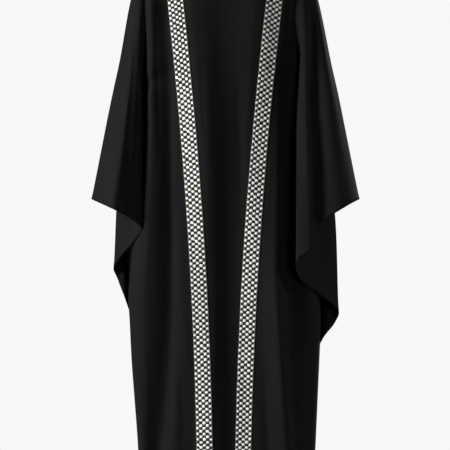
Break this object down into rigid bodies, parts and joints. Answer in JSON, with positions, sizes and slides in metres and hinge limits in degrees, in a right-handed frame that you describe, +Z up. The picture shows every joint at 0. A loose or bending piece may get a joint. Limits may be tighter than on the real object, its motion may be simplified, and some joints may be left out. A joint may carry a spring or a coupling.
{
  "type": "abaya",
  "caption": "Long black robe with wide bell sleeves, a round neck and a woven trim band down each side of the front, hollow as worn.",
  "frame": {"origin": "midway between the two points where the shoulder seams meet the neck, where the wearer's shoulders carry the garment", "axes": "+Z up along the height, -Y the wearer's front, +X to the right as seen from the front"},
  "size_m": [0.6688, 0.3055, 1.4209],
  "materials": {
    "black_crepe": "matte black crepe with a fine pebbled weave",
    "dotted_ribbon": "black woven ribbon with a lattice of raised ivory dots"
  },
  "bodies": {
    "root": {"front": "black_crepe", "back": "black_crepe", "sleeve_left": "black_crepe", "sleeve_right": "black_crepe", "band_left": "dotted_ribbon", "band_right": "dotted_ribbon"}
  },
  "joints": []
}
